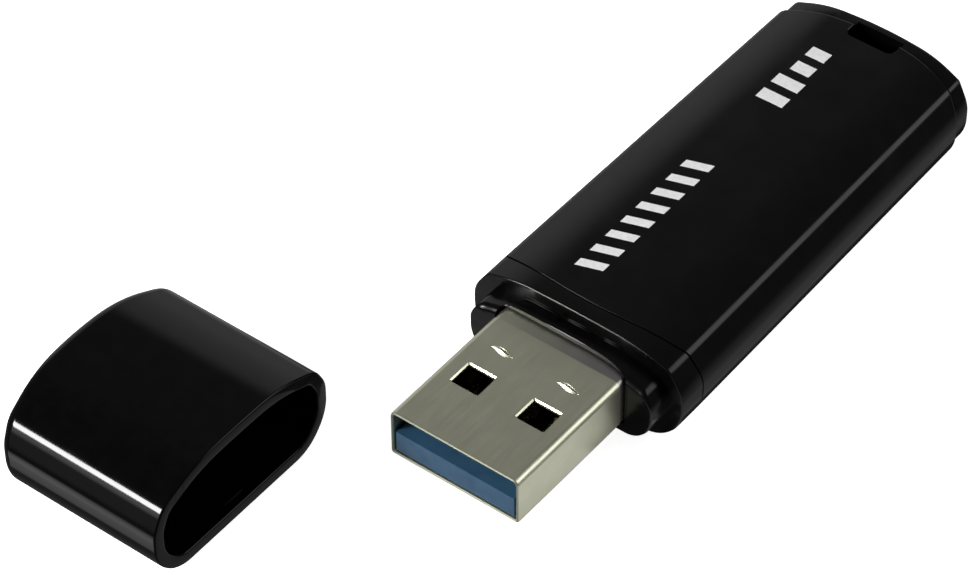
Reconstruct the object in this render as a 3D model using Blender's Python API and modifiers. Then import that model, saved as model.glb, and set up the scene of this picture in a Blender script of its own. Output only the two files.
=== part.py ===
"""A capped USB 3.0 flash drive, built as separate pieces, with its cap lying beside it.

Frame: origin at the middle of the housing's flat underside, +X across the drive,
+Y along it from the plug to the strap bar, +Z up. Metres throughout.
"""
import math

import bmesh
import bpy
from mathutils import Matrix, Vector

MM = 0.001
GAP = 0.15 * MM                 # clearance between small neighbours
OVERRUN = 2.0 * MM              # how far a cutter runs past what it cuts
TALL = 30.0 * MM                # height of a cutter that goes right through, from below to above

# The housing's cross-section: a flat underside, elliptical lower corners and a flattened crown.
HALF_WIDTH = 9.85 * MM
BELLY_Z = 4.2 * MM              # height of the widest point
HOUSING_CROWN = (8.7 * MM, 3.0)     # height of the crown, and the superellipse exponent of the upper half
CAP_CROWN = (9.4 * MM, 2.6)
FLAT_HALF = 6.0 * MM            # half width of the flat underside
CROWN_STEPS = 24
CORNER_STEPS = 6
TAPER_PER_M = 1.5               # the housing narrows by this share of its width per metre of length

# Stations along the drive.
PLUG_TIP_Y = -35.5 * MM
BOSS_FRONT_Y = -22.6 * MM
COLLAR_FRONT_Y = -20.4 * MM
SEAM_Y = -18.2 * MM
SLEEVE_END_Y = 18.8 * MM        # on the centre line
TAIL_END_Y = 20.6 * MM          # on the centre line
END_SAG = 1.3 * MM              # how far the arched ends fall back at the sides
CHASSIS_FRONT_Y = -15.2 * MM
CHASSIS_BACK_Y = 11.2 * MM
CHASSIS_END_WALL = 1.0 * MM
CAVITY_HALF = 6.6 * MM
TRAY_FLOOR_Z = 2.1 * MM
LID_ROOF_Z = 6.8 * MM
SPIGOT_OVERLAP = 0.5 * MM       # how far joined stretches of one piece run into each other

# Wall thicknesses, as insets from the housing's outline.
SLEEVE_WALL = 1.0 * MM
BOSS_INSET = 1.3 * MM
INNER_INSET = 1.3 * MM          # pieces that slide into the sleeve
TAIL_INSET = 0.45 * MM
TAIL_RADIUS = 0.45 * MM

# The strap slot and the scoop above the plug.
SLOT_X = 0.3 * MM
SLOT_WIDTH = 4.4 * MM
SLOT_RADIUS = 0.6 * MM
SLOT_FRONT_Y = 17.3 * MM
SLOT_BACK_Y = 19.4 * MM
SCOOP_DEPTH = 0.9 * MM
SCOOP_WIDTH = 10.4 * MM
SCOOP_RADIUS = 0.7 * MM

# The plug: standard outside size, with four windows.
PLUG_WIDTH = 12.0 * MM
PLUG_HEIGHT = 4.5 * MM
PLUG_Z = 4.6 * MM
PLUG_BACK_Y = -18.1 * MM
SHELL_WALL = 0.3 * MM
SHELL_RADIUS = 0.35 * MM
WINDOW_X = 3.06 * MM
WINDOW_SIZE = (2.5 * MM, 2.2 * MM)
WINDOW_FROM_TIP = 6.3 * MM
TONGUE_THICKNESS = 1.95 * MM
TONGUE_FRONT_Y = PLUG_TIP_Y + 0.1 * MM
BLOCK_FRONT_Y = PLUG_TIP_Y + 9.5 * MM
BLOCK_BACK_Y = -18.6 * MM

# Contacts: flat ones in grooves on the tongue, sprung ones above it.
STRIP_THICKNESS = 0.2 * MM
FLAT_CONTACT_XS = (-3.5 * MM, -1.0 * MM, 1.0 * MM, 3.5 * MM)
FLAT_CONTACT_WIDTH = 1.0 * MM
FLAT_CONTACT_FRONT_Y = PLUG_TIP_Y + 1.75 * MM
SPRING_CONTACT_XS = tuple(2.0 * MM * step for step in range(-2, 3))
SPRING_CONTACT_WIDTH = 0.6 * MM
SLOT_CLEARANCE = 0.13 * MM

# The circuit board and what it carries.
BOARD_WIDTH = 15.0 * MM
BOARD_NECK_WIDTH = 11.0 * MM
BOARD_BOTTOM_Z = 4.1 * MM
BOARD_THICKNESS = 1.0 * MM
BOARD_TOP_Z = BOARD_BOTTOM_Z + BOARD_THICKNESS
BOARD_FRONT_Y = -17.8 * MM
BOARD_SHOULDER_Y = -14.9 * MM
BOARD_BACK_Y = 10.9 * MM
SOLDER_GAP = 0.12 * MM
SOLDER_LENGTH = 1.7 * MM        # how far a contact reaches over the board
TRAY_TOP_Z = BOARD_BOTTOM_Z - 0.2 * MM
LID_BOTTOM_Z = BOARD_TOP_Z + 0.2 * MM

# The cap: where it lies, and where it comes to when it is swung in line with the plug.
CAP_LENGTH = 16.25 * MM
CAP_WALL = 1.1 * MM
CAP_END_WALL = 1.4 * MM
CAP_END_RADIUS = 1.3 * MM
CAP_SAG = 1.5 * MM
CAP_REST_MOUTH_X = -12.35 * MM
CAP_REST_AXIS_Y = -45.0 * MM
CAP_SWUNG_MOUTH_Y = -37.0 * MM
CAP_PIVOT_Y = (CAP_REST_AXIS_Y + CAP_SWUNG_MOUTH_Y - CAP_REST_MOUTH_X) / 2
CAP_PIVOT_X = CAP_REST_AXIS_Y - CAP_PIVOT_Y

BLACK_PLASTIC = (0.012, 0.012, 0.013)
BLUE_PLASTIC = (0.03, 0.16, 0.42)
NICKEL = (0.62, 0.60, 0.55)
GOLD = (0.83, 0.62, 0.26)


def clear_scene():
    """Remove whatever the open scene holds."""
    for old in list(bpy.data.objects):
        bpy.data.objects.remove(old, do_unlink=True)


def new_collection(name):
    """Make a collection and link it to the scene."""
    collection = bpy.data.collections.new(name)
    bpy.context.scene.collection.children.link(collection)
    return collection


def material(name, colour, roughness, metallic=0.0):
    """A Principled material with one plain finish."""
    made = bpy.data.materials.new(name)
    made.use_nodes = True
    shader = made.node_tree.nodes["Principled BSDF"]
    shader.inputs["Base Color"].default_value = (*colour, 1.0)
    shader.inputs["Roughness"].default_value = roughness
    shader.inputs["Metallic"].default_value = metallic
    return made


def place(obj, collection):
    """Link an object to one collection only."""
    for other in list(obj.users_collection):
        other.objects.unlink(obj)
    collection.objects.link(obj)
    return obj


def as_part(obj, name, finish):
    """Name an object as a sub-part and give it its own material."""
    obj.name = name
    obj.data.name = name
    obj.data.materials.clear()
    obj.data.materials.append(material(name, *finish))
    return place(obj, PARTS)


def as_cutter(obj):
    """Hide an object and file it with the cutters."""
    obj.hide_render = True
    obj.display_type = "WIRE"
    return place(obj, CUTTERS)


def combine(obj, tool, operation, solver="EXACT"):
    """Add a Boolean of obj with a hidden tool."""
    modifier = obj.modifiers.new(operation.title(), "BOOLEAN")
    modifier.operation = operation
    modifier.solver = solver
    modifier.object = as_cutter(tool)
    return obj


def bevel(obj, width, segments=2, angle=50.0):
    """Round the edges sharper than an angle in degrees."""
    modifier = obj.modifiers.new("Bevel", "BEVEL")
    modifier.width = width
    modifier.segments = segments
    modifier.limit_method = "ANGLE"
    modifier.angle_limit = math.radians(angle)
    return obj


def box(name, low, high):
    """An axis-aligned box between two corners, with its origin at its centre."""
    low, high = Vector(low), Vector(high)
    bpy.ops.mesh.primitive_cube_add(size=1.0, location=(low + high) / 2)
    obj = bpy.context.object
    obj.name = name
    obj.data.transform(Matrix.Diagonal((*(high - low), 1.0)))
    return obj


def mesh_from_curve(obj):
    """Turn a curve object into a mesh object with its caps welded on."""
    bpy.context.view_layer.update()
    depsgraph = bpy.context.evaluated_depsgraph_get()
    mesh = bpy.data.meshes.new_from_object(obj.evaluated_get(depsgraph))
    work = bmesh.new()
    work.from_mesh(mesh)
    bmesh.ops.remove_doubles(work, verts=work.verts, dist=1e-7)
    bmesh.ops.recalc_face_normals(work, faces=work.faces)
    work.to_mesh(mesh)
    work.free()
    solid = bpy.data.objects.new(obj.name, mesh)
    solid.matrix_world = obj.matrix_world.copy()
    PARTS.objects.link(solid)
    bpy.data.objects.remove(obj, do_unlink=True)
    return solid


def extruded(name, outline, depth):
    """A flat closed outline, filled and extruded by depth about its own plane."""
    curve = bpy.data.curves.new(name, "CURVE")
    curve.dimensions = "2D"
    curve.fill_mode = "BOTH"
    curve.extrude = depth / 2
    spline = curve.splines.new("POLY")
    spline.points.add(len(outline) - 1)
    for point, (across, up) in zip(spline.points, outline):
        point.co = (across, up, 0.0, 1.0)
    spline.use_cyclic_u = True
    obj = bpy.data.objects.new(name, curve)
    bpy.context.scene.collection.objects.link(obj)
    return obj


def section_outline(inset, crown):
    """The cross-section under a crown as (x, z) points, moved inwards by inset."""
    crown_z, exponent = crown
    half = HALF_WIDTH - inset
    rise = crown_z - inset - BELLY_Z
    points = []
    for step in range(CROWN_STEPS + 1):
        angle = math.pi * step / CROWN_STEPS
        across, up = math.cos(angle), math.sin(angle)
        x = half * math.copysign(abs(across) ** (2 / exponent), across)
        points.append((x, BELLY_Z + rise * abs(up) ** (2 / exponent)))
    left_corner = []
    for step in range(1, CORNER_STEPS + 1):
        angle = 0.5 * math.pi * step / CORNER_STEPS
        x = -FLAT_HALF - (half - FLAT_HALF) * math.cos(angle)
        left_corner.append((x, BELLY_Z - (BELLY_Z - inset) * math.sin(angle)))
    right_corner = [(-x, z) for x, z in reversed(left_corner)]
    return points + left_corner + right_corner


def section_prism(name, inset, start_y, end_y, crown=HOUSING_CROWN, taper=TAPER_PER_M):
    """The cross-section extruded along Y and narrowed evenly towards the tail."""
    obj = extruded(name, section_outline(inset, crown), end_y - start_y)
    obj.rotation_euler = (math.radians(90), 0.0, 0.0)
    obj.location = (0.0, (start_y + end_y) / 2, 0.0)
    solid = mesh_from_curve(obj)
    solid.data.transform(solid.matrix_world)
    solid.matrix_world = Matrix.Identity(4)
    for vertex in solid.data.vertices:
        vertex.co.x *= 1.0 - taper * (vertex.co.y - SEAM_Y)
    return solid


def arched_block(name, start_y, end_y, sag, direction=1.0):
    """A tall block whose end is an arc in plan, from a straight start to end_y on the centre line."""
    half = HALF_WIDTH + OVERRUN
    radius = (HALF_WIDTH ** 2 + sag ** 2) / (2 * sag)
    arc_steps = 16
    outline = [(-half, start_y), (half, start_y)]
    for step in range(arc_steps + 1):
        x = half * (1 - 2 * step / arc_steps)
        outline.append((x, end_y - direction * (radius - math.sqrt(radius ** 2 - x ** 2))))
    return mesh_from_curve(extruded(name, outline, TALL))


def make_sleeve():
    """The outer tube of the housing, with an arched end notched for a strap."""
    sleeve = section_prism("sleeve", 0.0, SEAM_Y + GAP, SLEEVE_END_Y + OVERRUN)
    combine(sleeve, arched_block("sleeve_end", SEAM_Y - OVERRUN, SLEEVE_END_Y, END_SAG), "INTERSECT")
    bore = section_prism("sleeve_bore", SLEEVE_WALL, SEAM_Y - OVERRUN, SLEEVE_END_Y + 2 * OVERRUN)
    combine(sleeve, bore, "DIFFERENCE")
    combine(sleeve, strap_slot("sleeve_notch", SLEEVE_END_Y + OVERRUN), "DIFFERENCE")
    return as_part(sleeve, "outer_sleeve", (BLACK_PLASTIC, 0.35))


def strap_slot(name, back_y):
    """The cutter for the slot that a strap goes through, from top to bottom."""
    inner_half = SLOT_WIDTH / 2 - SLOT_RADIUS
    outline = [(SLOT_X - SLOT_WIDTH / 2, back_y)]
    for side, start in ((-1, 180), (1, 270)):
        for step in range(5):
            angle = math.radians(start + 22.5 * step)
            x = SLOT_X + side * inner_half + SLOT_RADIUS * math.cos(angle)
            outline.append((x, SLOT_FRONT_Y + SLOT_RADIUS + SLOT_RADIUS * math.sin(angle)))
    outline.append((SLOT_X + SLOT_WIDTH / 2, back_y))
    return mesh_from_curve(extruded(name, outline, TALL))


def make_collar():
    """The front ring of the housing, with the boss that the cap sits on and a spigot for the sleeve."""
    collar = section_prism("collar", 0.0, COLLAR_FRONT_Y, SEAM_Y, taper=0.0)
    boss = section_prism("boss", BOSS_INSET, BOSS_FRONT_Y, COLLAR_FRONT_Y + SPIGOT_OVERLAP, taper=0.0)
    combine(collar, boss, "UNION")
    spigot = section_prism("spigot", INNER_INSET, SEAM_Y - SPIGOT_OVERLAP, CHASSIS_FRONT_Y - 2 * GAP)
    combine(collar, spigot, "UNION")
    half = PLUG_WIDTH / 2 + GAP
    rise = PLUG_HEIGHT / 2 + GAP
    pocket = box("pocket", (-half, BOSS_FRONT_Y - OVERRUN, PLUG_Z - rise),
                 (half, CHASSIS_FRONT_Y + OVERRUN, PLUG_Z + rise))
    combine(collar, pocket, "DIFFERENCE")
    scoop = box("scoop", (-SCOOP_WIDTH / 2, BOSS_FRONT_Y - OVERRUN, PLUG_Z),
                (SCOOP_WIDTH / 2, BOSS_FRONT_Y + SCOOP_DEPTH, TALL))
    combine(collar, bevel(scoop, SCOOP_RADIUS), "DIFFERENCE")
    return as_part(collar, "front_collar", (BLACK_PLASTIC, 0.3))


def make_tail():
    """The end piece: a spigot inside the sleeve, an arched flange behind it and the strap bar."""
    tail = section_prism("tail_flange", TAIL_INSET, SLEEVE_END_Y - OVERRUN, TAIL_END_Y + OVERRUN)
    combine(tail, arched_block("tail_end", 0.0, TAIL_END_Y, END_SAG), "INTERSECT")
    combine(tail, arched_block("flange_face", 0.0, SLEEVE_END_Y + GAP, END_SAG), "DIFFERENCE")
    bevel(tail, TAIL_RADIUS)
    spigot = section_prism("tail_spigot", INNER_INSET, CHASSIS_BACK_Y + 2 * GAP, TAIL_END_Y)
    spigot_end_y = SLEEVE_END_Y + GAP + SPIGOT_OVERLAP
    combine(spigot, arched_block("tail_spigot_end", 0.0, spigot_end_y, END_SAG), "INTERSECT")
    combine(tail, spigot, "UNION")
    combine(tail, strap_slot("tail_slot", SLOT_BACK_Y), "DIFFERENCE", solver="MANIFOLD")
    return as_part(tail, "tail_piece", (BLACK_PLASTIC, 0.3))


def make_chassis_half(name, low_z, high_z, cavity_low_z, cavity_high_z):
    """Half of the inner chassis: the sleeve's bore shape between two heights, hollowed for the board."""
    half = section_prism(name, INNER_INSET, CHASSIS_FRONT_Y, CHASSIS_BACK_Y)
    slab = box(name + "_slab", (-HALF_WIDTH, CHASSIS_FRONT_Y - OVERRUN, low_z),
               (HALF_WIDTH, CHASSIS_BACK_Y + OVERRUN, high_z))
    combine(half, slab, "INTERSECT")
    cavity = box(name + "_cavity", (-CAVITY_HALF, CHASSIS_FRONT_Y + CHASSIS_END_WALL, cavity_low_z),
                 (CAVITY_HALF, CHASSIS_BACK_Y - CHASSIS_END_WALL, cavity_high_z))
    combine(half, cavity, "DIFFERENCE")
    return as_part(half, name, (BLACK_PLASTIC, 0.5))


def make_chassis():
    """The two chassis halves, which clamp the board by its long edges."""
    make_chassis_half("chassis_tray", 0.0, TRAY_TOP_Z, TRAY_FLOOR_Z, BOARD_TOP_Z)
    make_chassis_half("chassis_lid", LID_BOTTOM_Z, TALL, BOARD_BOTTOM_Z, LID_ROOF_Z)


def make_shell():
    """The plug's folded metal shell: an open tube with rounded long edges and four windows."""
    half, rise = PLUG_WIDTH / 2, PLUG_HEIGHT / 2
    shell = box("shell", (-half, PLUG_TIP_Y, PLUG_Z - rise), (half, PLUG_BACK_Y, PLUG_Z + rise))
    bevel(shell, SHELL_RADIUS)
    bore = box("shell_bore", (-half + SHELL_WALL, PLUG_TIP_Y - OVERRUN, PLUG_Z - rise + SHELL_WALL),
               (half - SHELL_WALL, PLUG_BACK_Y + OVERRUN, PLUG_Z + rise - SHELL_WALL))
    combine(shell, bore, "DIFFERENCE")
    width, length = WINDOW_SIZE
    middle_y = PLUG_TIP_Y + WINDOW_FROM_TIP
    for side in (-1, 1):
        x = side * WINDOW_X
        window = box("window", (x - width / 2, middle_y - length / 2, -TALL),
                     (x + width / 2, middle_y + length / 2, TALL))
        combine(shell, window, "DIFFERENCE")
    return as_part(shell, "plug_shell", (NICKEL, 0.3, 1.0))


def tongue_top_z():
    """Height of the plastic tongue's upper face."""
    return PLUG_Z - PLUG_HEIGHT / 2 + SHELL_WALL + GAP + TONGUE_THICKNESS


def flat_contact_z():
    """Height of the middle of a flat contact, sunk in its groove."""
    return tongue_top_z() - STRIP_THICKNESS / 2 - 0.03 * MM


def spring_contact_z():
    """Height of the middle of a sprung contact where it leaves the block."""
    return BOARD_TOP_Z + SOLDER_GAP + STRIP_THICKNESS / 2


def make_insulator():
    """The blue tongue and the block behind it, with a passage for each contact."""
    half = PLUG_WIDTH / 2 - SHELL_WALL - GAP
    low_z = PLUG_Z - PLUG_HEIGHT / 2 + SHELL_WALL + GAP
    high_z = PLUG_Z + PLUG_HEIGHT / 2 - SHELL_WALL - GAP
    insulator = box("tongue", (-half, TONGUE_FRONT_Y, low_z),
                    (half, BLOCK_FRONT_Y + SPIGOT_OVERLAP, tongue_top_z()))
    block = box("block", (-half, BLOCK_FRONT_Y, low_z), (half, BLOCK_BACK_Y, high_z))
    combine(insulator, block, "UNION")
    rise = STRIP_THICKNESS / 2 + SLOT_CLEARANCE
    for x in FLAT_CONTACT_XS:
        reach = FLAT_CONTACT_WIDTH / 2 + SLOT_CLEARANCE
        groove = box("groove", (x - reach, FLAT_CONTACT_FRONT_Y - GAP, flat_contact_z() - rise),
                     (x + reach, BLOCK_BACK_Y + OVERRUN, flat_contact_z() + rise))
        combine(insulator, groove, "DIFFERENCE")
    for x in SPRING_CONTACT_XS:
        reach = SPRING_CONTACT_WIDTH / 2 + SLOT_CLEARANCE
        passage = box("passage", (x - reach, BLOCK_FRONT_Y - OVERRUN, spring_contact_z() - rise),
                      (x + reach, BLOCK_BACK_Y + OVERRUN, spring_contact_z() + rise))
        combine(insulator, passage, "DIFFERENCE")
    return as_part(insulator, "plug_insulator", (BLUE_PLASTIC, 0.35))


def bent_strip(name, path, width, x):
    """A metal strip of one thickness that follows a path of (y, z) points."""
    mesh = bpy.data.meshes.new(name)
    work = bmesh.new()
    previous = None
    for y, z in path:
        pair = [work.verts.new((x + side * width / 2, y, z)) for side in (-1, 1)]
        if previous:
            work.faces.new((previous[0], previous[1], pair[1], pair[0]))
        previous = pair
    work.to_mesh(mesh)
    work.free()
    obj = bpy.data.objects.new(name, mesh)
    PARTS.objects.link(obj)
    solidify = obj.modifiers.new("Solidify", "SOLIDIFY")
    solidify.thickness = STRIP_THICKNESS
    solidify.offset = 0.0
    solidify.use_even_offset = True
    return as_part(obj, name, (GOLD, 0.25, 1.0))


def make_contacts():
    """Four flat contacts soldered under the board and five sprung ones soldered on top of it."""
    flat_z = flat_contact_z()
    under_board_z = BOARD_BOTTOM_Z - SOLDER_GAP - STRIP_THICKNESS / 2
    solder_y = BOARD_FRONT_Y + SOLDER_LENGTH
    step_y = BLOCK_BACK_Y + GAP
    flat_path = [
        (FLAT_CONTACT_FRONT_Y, flat_z),
        (step_y, flat_z),
        (step_y + 0.35 * MM, under_board_z),
        (solder_y, under_board_z),
    ]
    for number, x in enumerate(FLAT_CONTACT_XS, start=1):
        bent_strip(f"usb2_contact_{number}", flat_path, FLAT_CONTACT_WIDTH, x)
    spring_z = spring_contact_z()
    spring_path = [
        (BLOCK_FRONT_Y - 2.6 * MM, spring_z + 0.05 * MM),
        (BLOCK_FRONT_Y - 1.9 * MM, spring_z + 0.55 * MM),
        (BLOCK_FRONT_Y - 1.2 * MM, spring_z + 0.4 * MM),
        (BLOCK_FRONT_Y - 0.4 * MM, spring_z),
        (solder_y, spring_z),
    ]
    for number, x in enumerate(SPRING_CONTACT_XS, start=1):
        bent_strip(f"superspeed_contact_{number}", spring_path, SPRING_CONTACT_WIDTH, x)


def make_board():
    """The circuit board, with a neck that goes in between the plug's contacts."""
    neck, full = BOARD_NECK_WIDTH / 2, BOARD_WIDTH / 2
    outline = [
        (-neck, BOARD_FRONT_Y),
        (neck, BOARD_FRONT_Y),
        (neck, BOARD_SHOULDER_Y),
        (full, BOARD_SHOULDER_Y),
        (full, BOARD_BACK_Y),
        (-full, BOARD_BACK_Y),
        (-full, BOARD_SHOULDER_Y),
        (-neck, BOARD_SHOULDER_Y),
    ]
    obj = extruded("board", outline, BOARD_THICKNESS)
    obj.location.z = BOARD_BOTTOM_Z + BOARD_THICKNESS / 2
    return as_part(mesh_from_curve(obj), "circuit_board", ((0.02, 0.16, 0.07), 0.45))


def make_component(name, centre, size, finish, under=False):
    """A bevelled block soldered on top of the board, or under it."""
    x, y = centre
    width, length, height = size
    if under:
        high_z = BOARD_BOTTOM_Z - SOLDER_GAP
        low_z = high_z - height
    else:
        low_z = BOARD_TOP_Z + SOLDER_GAP
        high_z = low_z + height
    block = box(name, (x - width / 2, y - length / 2, low_z), (x + width / 2, y + length / 2, high_z))
    bevel(block, 0.08 * MM, segments=1)
    return as_part(block, name, finish)


def make_electronics():
    """The chips, the crystal, the supply parts and the small passives."""
    package = ((0.02, 0.02, 0.022), 0.5)
    ceramic = ((0.42, 0.28, 0.17), 0.45)
    tin = ((0.75, 0.75, 0.74), 0.3, 1.0)
    grey = ((0.12, 0.12, 0.125), 0.6)
    make_component("flash_memory_chip", (0.0, 0.6 * MM), (12 * MM, 18 * MM, 1.0 * MM), package)
    make_component("controller_chip", (0.0, -6.5 * MM), (7 * MM, 7 * MM, 0.85 * MM), package, under=True)
    make_component("crystal_oscillator", (4.2 * MM, -11.6 * MM), (2.5 * MM, 3.2 * MM, 0.7 * MM), tin)
    make_component("voltage_regulator", (-4.3 * MM, -11.6 * MM), (1.6 * MM, 2.9 * MM, 1.1 * MM), package)
    make_component("power_inductor", (0.0, -11.6 * MM), (2.5 * MM, 2.0 * MM, 1.2 * MM), grey)
    make_component("esd_protection_chip", (0.0, -13.0 * MM), (2.5 * MM, 1.0 * MM, 0.5 * MM),
                   package, under=True)
    passive_xs = (-4.8 * MM, -1.6 * MM, 1.6 * MM, 4.8 * MM)
    for number, x in enumerate(passive_xs, start=1):
        make_component(f"capacitor_{number}", (x, 2.0 * MM), (0.8 * MM, 1.6 * MM, 0.8 * MM), ceramic,
                       under=True)
        make_component(f"resistor_{number}", (x, 6.0 * MM), (0.8 * MM, 1.6 * MM, 0.45 * MM), grey,
                       under=True)


def hang_on_pivot(obj):
    """Put an object's origin on the cap's pivot axis and turn it to the cap's resting direction."""
    obj.data.transform(Matrix.Translation((-CAP_PIVOT_X, -CAP_PIVOT_Y, 0.0)) @ obj.matrix_world)
    obj.location = (CAP_PIVOT_X, CAP_PIVOT_Y, 0.0)
    obj.rotation_euler = (0.0, 0.0, math.radians(-90))


def make_cap():
    """The pull-off cap, modelled in line with the plug and then turned to where it lies."""
    mouth_y = CAP_SWUNG_MOUTH_Y
    end_y = mouth_y - CAP_LENGTH
    front_y = mouth_y + 3 * OVERRUN
    wide = HALF_WIDTH + OVERRUN
    cap = section_prism("cap_outer", 0.0, end_y - OVERRUN, mouth_y + OVERRUN, CAP_CROWN, taper=0.0)
    end = arched_block("cap_end", front_y, end_y, CAP_SAG, direction=-1.0)
    front = box("cap_front", (-wide, mouth_y, -TALL), (wide, front_y, TALL))
    cavity = section_prism("cap_cavity", CAP_WALL, end_y - OVERRUN, mouth_y + OVERRUN, CAP_CROWN, taper=0.0)
    cavity_end = arched_block("cap_cavity_end", front_y, end_y + CAP_END_WALL, CAP_SAG, direction=-1.0)
    for obj in (cap, end, front, cavity, cavity_end):
        hang_on_pivot(obj)
    combine(cap, end, "INTERSECT")
    bevel(cap, CAP_END_RADIUS, segments=4)
    combine(cap, front, "DIFFERENCE")
    combine(cavity, cavity_end, "INTERSECT")
    combine(cap, cavity, "DIFFERENCE")
    return as_part(cap, "cap", (BLACK_PLASTIC, 0.12))


def shade(obj):
    """Shade the rounded faces smooth and keep the real edges sharp."""
    obj.data.shade_smooth()
    obj.data.set_sharp_from_angle(angle=math.radians(35))


clear_scene()
PARTS = new_collection("usb_flash_drive")
CUTTERS = new_collection("cutters")
make_sleeve()
make_collar()
make_tail()
make_chassis()
make_shell()
make_insulator()
make_contacts()
make_board()
make_electronics()
make_cap()
for part in PARTS.objects:
    shade(part)
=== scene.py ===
"""The looks of a capped USB flash drive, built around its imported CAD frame. Metres, +Z up."""
import math

import bmesh
import bpy
from mathutils import Matrix, Vector


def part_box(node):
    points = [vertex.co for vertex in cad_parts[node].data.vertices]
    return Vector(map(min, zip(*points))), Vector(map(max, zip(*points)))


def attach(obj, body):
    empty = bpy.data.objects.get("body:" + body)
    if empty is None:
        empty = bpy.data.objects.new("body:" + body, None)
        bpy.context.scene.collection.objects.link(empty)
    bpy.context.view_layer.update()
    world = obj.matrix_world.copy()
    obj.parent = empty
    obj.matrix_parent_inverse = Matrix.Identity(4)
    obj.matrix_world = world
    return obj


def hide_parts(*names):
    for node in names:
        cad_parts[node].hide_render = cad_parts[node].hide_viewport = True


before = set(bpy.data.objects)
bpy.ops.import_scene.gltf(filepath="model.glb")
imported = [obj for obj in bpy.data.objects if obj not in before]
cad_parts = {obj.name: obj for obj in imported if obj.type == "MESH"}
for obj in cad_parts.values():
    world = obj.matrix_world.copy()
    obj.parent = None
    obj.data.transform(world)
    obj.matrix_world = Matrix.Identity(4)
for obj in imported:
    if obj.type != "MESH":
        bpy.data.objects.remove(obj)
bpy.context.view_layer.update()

MM = 0.001
TALL = 30.0 * MM        # top of a cutter that goes right through
OVERRUN = 1.0 * MM      # how far a cutter stands out of what it cuts

# Places taken from the frame.
SLEEVE_LOW, SLEEVE_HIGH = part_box("outer_sleeve")
COLLAR_LOW, COLLAR_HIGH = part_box("front_collar")
TAIL_LOW, TAIL_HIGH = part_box("tail_piece")
SHELL_LOW, SHELL_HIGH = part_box("plug_shell")
BLOCK_LOW, BLOCK_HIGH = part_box("plug_insulator")
CAP_LOW, CAP_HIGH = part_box("cap")
HALF_WIDTH = COLLAR_HIGH.x
HOUSING_CROWN = COLLAR_HIGH.z
CAP_CROWN = CAP_HIGH.z
CAP_AXIS_Y = (CAP_LOW.y + CAP_HIGH.y) / 2
PLUG_Z = (SHELL_LOW.z + SHELL_HIGH.z) / 2

# The cross-sections: corners as (x, z, radius), a side's corners as (z, radius), a top break as (x, drop).
UNDERSIDE_CORNER = (7.59 * MM, 0.0, 3.4 * MM)
SIDE_LOW = (2.47 * MM, 4.1 * MM)
SIDE_HIGH = (5.6 * MM, 3.0 * MM)
TOP_BREAK_RADIUS = 13.0 * MM
HOUSING_BREAK = (5.6 * MM, 0.13 * MM)
CAP_BREAK = (4.7 * MM, 0.12 * MM)
HOUSING_SHOULDER = (8.55 * MM, 7.68 * MM, 1.0 * MM)
BOSS_SHOULDER = (8.7 * MM, 7.63 * MM, 2.4 * MM)
CAP_SHOULDER = (8.8 * MM, 7.65 * MM, 2.4 * MM)

# The housing along Y. SEAM_Y is the line between the collar and the sleeve.
TAPER_PER_M = 1.5
TAIL_SAG = 1.05 * MM
SEAM_Y = SLEEVE_LOW.y - 0.15 * MM
SEAM_MIDDLE_Y = SEAM_Y - 0.8 * MM
SEAM_SAG = -1.2 * MM
SEAM_GAP = 0.14 * MM
COLLAR_FRONT_Y = SEAM_Y - 2.2 * MM
BOSS_FRONT_Y = COLLAR_LOW.y
SLEEVE_END_Y = SLEEVE_HIGH.y + 0.5 * MM
SLEEVE_SAG = 1.8 * MM
TAIL_END_Y = TAIL_HIGH.y
SLEEVE_WALL = 1.0 * MM
BOSS_INSET = 1.3 * MM
SPIGOT_INSET = 1.35 * MM
TAIL_INSET = 0.3 * MM
SEAM_RADIUS = 0.025 * MM
BOSS_SIDE_RADIUS = 0.15 * MM
BOSS_TOP_RADIUS = 0.65 * MM
BOSS_TOP_Z = HOUSING_CROWN - BOSS_INSET
COLLAR_EDGE = 0.12 * MM
POCKET_CLEARANCE = 0.12 * MM
RIB_SPANS = ((-4.9 * MM, -1.6 * MM), (-0.85 * MM, 1.45 * MM), (2.6 * MM, 4.2 * MM))
NOTCH_SPAN = (-1.55 * MM, -1.0 * MM)
SCOOP_SIDE = 6.0 * MM
SCOOP_DEPTH = 0.9 * MM
SCOOP_SWEEP = 4.3 * MM
SCOOP_CORNER = 0.5 * MM
TAIL_EDGE = 0.35 * MM

# The strap slot.
SLOT_X = 0.3 * MM
SLOT_WIDTH = 4.4 * MM
SLOT_RADIUS = 0.6 * MM
SLOT_FRONT_Y = 17.8 * MM
SLOT_BACK_Y = 19.8 * MM
CUT_FLARE = 0.12 * MM   # the bevel where a slot or a window comes out

# The cap, measured from its mouth.
CAP_WALL = 1.1 * MM
CAP_END_WALL = 1.4 * MM
CAP_END_RADIUS = 1.0 * MM
CAP_INNER_RADIUS = 0.8 * MM
CAP_LIP = 0.16 * MM
CAP_SAG = 1.1 * MM
CAP_LENGTH = CAP_HIGH.x - CAP_LOW.x

# The plug.
SHELL_WALL = 0.3 * MM
SHELL_LIP = 0.15 * MM
SHELL_TOP_RADIUS = 0.6 * MM
SHELL_BOTTOM_RADIUS = 0.3 * MM
WINDOW_X = 3.06 * MM
WINDOW_SIZE = (2.5 * MM, 2.2 * MM)
WINDOW_RADIUS = 0.12 * MM
WINDOW_Y = SHELL_LOW.y + 6.3 * MM
DIMPLE_X = 3.1 * MM
DIMPLE_Y = SHELL_LOW.y + 9.8 * MM
DIMPLE_HALF_LENGTH = 1.05 * MM
DIMPLE_SLANT = 0.2 * MM
CREASE_Y = SHELL_LOW.y + 12.5 * MM
CREASE_DEPTH = 0.05 * MM
INNER_SHADE_Y = SHELL_LOW.y + 4.0 * MM      # where painted shade turns the insulator dark, from just in front of the windows
TONGUE_LENGTH = 9.4 * MM
TONGUE_THICKNESS = 1.95 * MM

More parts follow.
